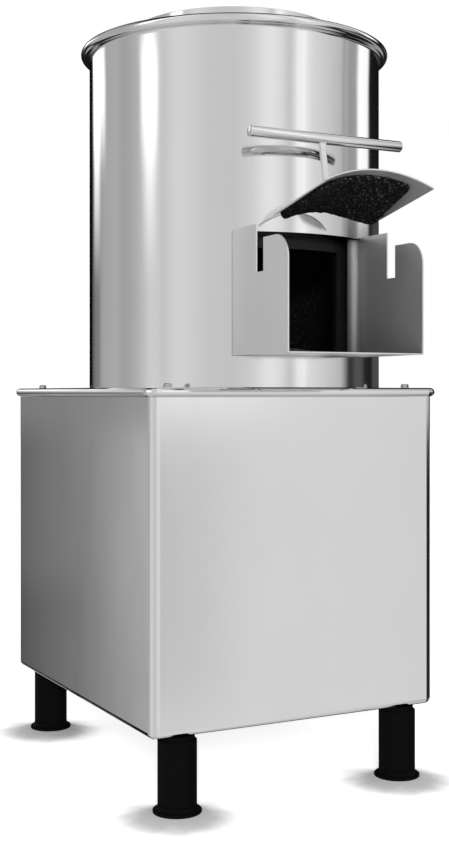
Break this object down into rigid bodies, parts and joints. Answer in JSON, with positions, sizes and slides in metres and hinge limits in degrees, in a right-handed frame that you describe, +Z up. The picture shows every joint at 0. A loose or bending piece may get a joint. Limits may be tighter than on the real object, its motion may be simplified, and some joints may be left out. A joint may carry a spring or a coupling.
{
  "type": "electric potato peeler",
  "caption": "Floor-standing electric potato peeler: a steel drum with an abrasive turntable inside, a discharge chute with a lift-off door, and a motor cabinet on legs.",
  "frame": {"origin": "on the floor, in the middle of the part's box at rest", "axes": "+Z up; -Y is the front, where the chute and its door are; +X to the right of someone who faces the chute"},
  "size_m": [0.4638, 0.8064, 1.0989],
  "materials": {
    "polished_steel": "polished",
    "satin_steel": "satin",
    "black_paint": "gloss",
    "grit_lining": "coarse grit",
    "grit_casting": "coarse grit",
    "cast_iron": "painted",
    "machined_steel": "machined",
    "black_rubber": "matte",
    "motor_paint": "painted",
    "grey_plastic": "moulded",
    "green_plastic": "moulded",
    "red_plastic": "moulded"
  },
  "bodies": {
    "machine": {"cabinet_body": "satin_steel", "deck_plate": "satin_steel", "outer_drum": "polished_steel", "drum_base": "satin_steel", "inner_drum": "satin_steel", "abrasive_liner": "grit_lining", "top_cover": "polished_steel", "feed_collar": "polished_steel", "door_seal": "black_rubber", "chute_floor": "polished_steel", "chute_cheek_left": "polished_steel", "chute_cheek_right": "polished_steel", "shaft_seal": "black_rubber", "bearing_housing": "cast_iron", "upper_bearing": "machined_steel", "lower_bearing": "machined_steel", "v_belt": "black_rubber", "motor_body": "motor_paint", "motor_end_bell": "motor_paint", "motor_fan_cowl": "motor_paint", "motor_terminal_box": "motor_paint", "motor_stand": "cast_iron", "service_panel": "satin_steel", "switch_box": "grey_plastic", "cable_gland": "black_rubber", "waste_outlet": "polished_steel", "water_inlet": "machined_steel", "deck_bolt_1": "machined_steel", "panel_screw_1": "machined_steel", "deck_bolt_2": "machined_steel", "panel_screw_2": "machined_steel", "deck_bolt_3": "machined_steel", "panel_screw_3": "machined_steel", "deck_bolt_4": "machined_steel", "panel_screw_4": "machined_steel", "leg_front_left": "black_paint", "foot_front_left": "black_paint", "leg_front_right": "black_paint", "foot_front_right": "black_paint", "leg_rear_left": "black_paint", "foot_rear_left": "black_paint", "leg_rear_right": "black_paint", "foot_rear_right": "black_paint"},
    "turntable_assembly": {"turntable": "grit_casting", "turntable_cap_nut": "machined_steel", "drive_shaft": "machined_steel", "turntable_pulley": "cast_iron"},
    "motor_rotor": {"motor_pulley": "cast_iron", "motor_shaft": "machined_steel"},
    "lifting_bar": {"door_bar": "polished_steel"},
    "door": {"door_stem": "polished_steel", "door_plate": "polished_steel", "door_pad": "grit_lining"},
    "start_push": {"start_button": "green_plastic"},
    "stop_push": {"stop_button": "red_plastic"}
  },
  "joints": [
    {"name": "turntable_spin", "type": "hinge", "parent": "machine", "child": "turntable_assembly", "pos_m": [0, -0.00509, 0.616], "axis": [0, 0, 1], "continuous": true},
    {"name": "motor_spin", "type": "hinge", "parent": "machine", "child": "motor_rotor", "pos_m": [0, 0.22161, 0.412], "axis": [0, 0, 1], "continuous": true},
    {"name": "door_lift", "type": "slide", "parent": "machine", "child": "lifting_bar", "axis": [0, 0, 1], "range_m": [-0.1738, 0]},
    {"name": "door_tilt", "type": "hinge", "parent": "lifting_bar", "child": "door", "pos_m": [0, -0.27199, 0.8974], "axis": [1, 0, 0], "range_deg": [0, 101.5]},
    {"name": "start_press", "type": "slide", "parent": "machine", "child": "start_push", "axis": [0, -1, 0], "range_m": [0, 0.003], "stiffness_N_per_m": 400},
    {"name": "stop_press", "type": "slide", "parent": "machine", "child": "stop_push", "axis": [0, -1, 0], "range_m": [0, 0.003], "stiffness_N_per_m": 400}
  ],
  "couplings": [
    {"joint": "motor_spin", "follows": "turntable_spin", "ratio": 2.8571},
    {"joint": "door_tilt", "follows": "door_lift", "rad_per_m": -10.193}
  ]
}
